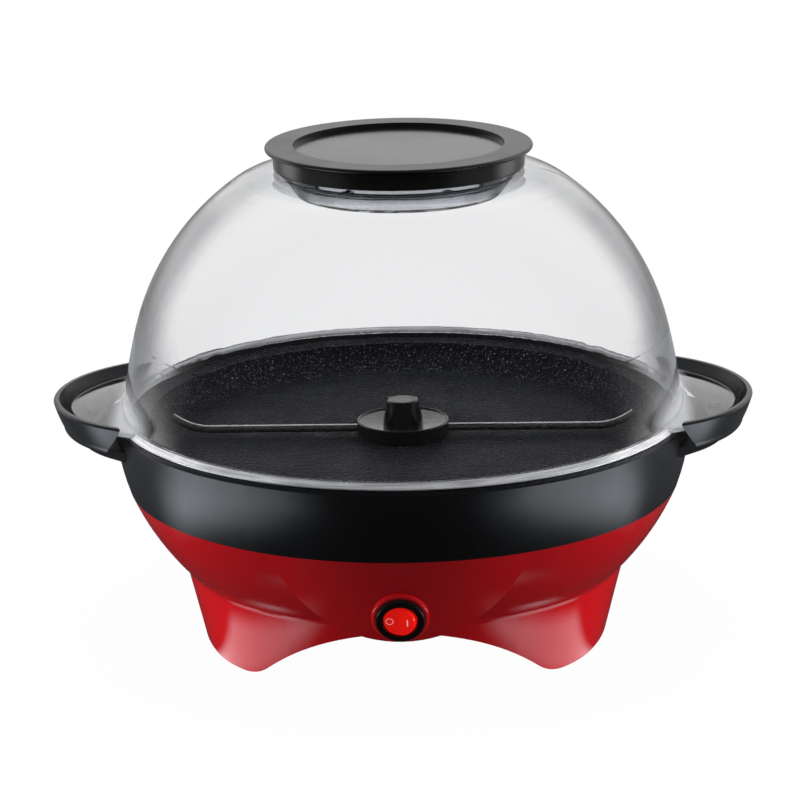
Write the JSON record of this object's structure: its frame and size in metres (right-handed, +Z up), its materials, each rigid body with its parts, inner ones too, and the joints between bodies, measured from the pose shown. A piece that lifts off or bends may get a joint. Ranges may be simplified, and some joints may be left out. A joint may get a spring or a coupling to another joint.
{
  "type": "popcorn maker",
  "caption": "Countertop popcorn maker: a stirred hot pan in a round base with tray handles, under a clear lift-off dome with a capped butter well.",
  "frame": {"origin": "on the table under the middle of the base", "axes": "+Z up, -Y the front with the rocker switch, +X to the right seen from the front"},
  "size_m": [0.3534, 0.291, 0.2494],
  "materials": {
    "red_plastic": "gloss",
    "dark_plastic": "satin",
    "black_plastic": "matte",
    "cap_plastic": "gloss",
    "white_plastic": "matte",
    "clear_plastic": "clear gloss",
    "red_lens": "translucent gloss",
    "coated_aluminium": "dark non-stick coating",
    "steel": "bright",
    "element_steel": "heat-darkened",
    "zinc_sheet": "zinc-plated",
    "brass": "satin",
    "rubber": "matte"
  },
  "bodies": {
    "base": {"base_housing": "red_plastic", "rubber_feet": "rubber", "bottom_cover": "black_plastic", "cover_screws": "steel", "cord_gland": "rubber", "terminal_block": "white_plastic", "upper_ring": "dark_plastic", "pan": "coated_aluminium", "heating_element": "element_steel", "element_clips": "steel", "thermostat": "steel", "thermal_fuse": "steel", "heat_shield": "zinc_sheet", "shield_screws": "steel", "gear_motor": "zinc_sheet", "motor_screws": "steel", "shaft_bush": "brass", "switch_housing": "black_plastic", "switch_terminals": "brass", "right_handle": "dark_plastic", "right_handle_bracket": "black_plastic", "left_handle": "dark_plastic", "left_handle_bracket": "black_plastic", "handle_screws": "steel", "bracket_screws": "steel"},
    "drive": {"motor_output_shaft": "steel", "drive_coupling": "white_plastic", "drive_shaft": "steel"},
    "stirrer": {"stirrer_hub": "black_plastic", "stirring_arms": "steel"},
    "knob": {"hub_knob": "black_plastic"},
    "dome": {"dome": "clear_plastic", "butter_cup": "clear_plastic"},
    "cap": {"dome_cap": "cap_plastic"},
    "rocker": {"switch_rocker": "red_lens"}
  },
  "joints": [
    {"name": "stir_spin", "type": "hinge", "parent": "base", "child": "drive", "pos_m": [0, 0, 0.1], "axis": [0, 0, 1], "continuous": true},
    {"name": "stirrer_lift", "type": "slide", "parent": "drive", "child": "stirrer", "axis": [0, 0, 1], "range_m": [0, 0.03]},
    {"name": "knob_unscrew", "type": "slide", "parent": "stirrer", "child": "knob", "axis": [0, 0, 1], "range_m": [0, 0.02]},
    {"name": "dome_lift", "type": "slide", "parent": "base", "child": "dome", "axis": [0, 0, 1], "range_m": [0, 0.2]},
    {"name": "cap_lift", "type": "slide", "parent": "dome", "child": "cap", "axis": [0, 0, 1], "range_m": [0, 0.06]},
    {"name": "rocker_tip", "type": "hinge", "parent": "base", "child": "rocker", "pos_m": [0, -0.13208, 0.04777], "axis": [0, -0.2756, 0.9613], "range_deg": [0, 20]}
  ]
}
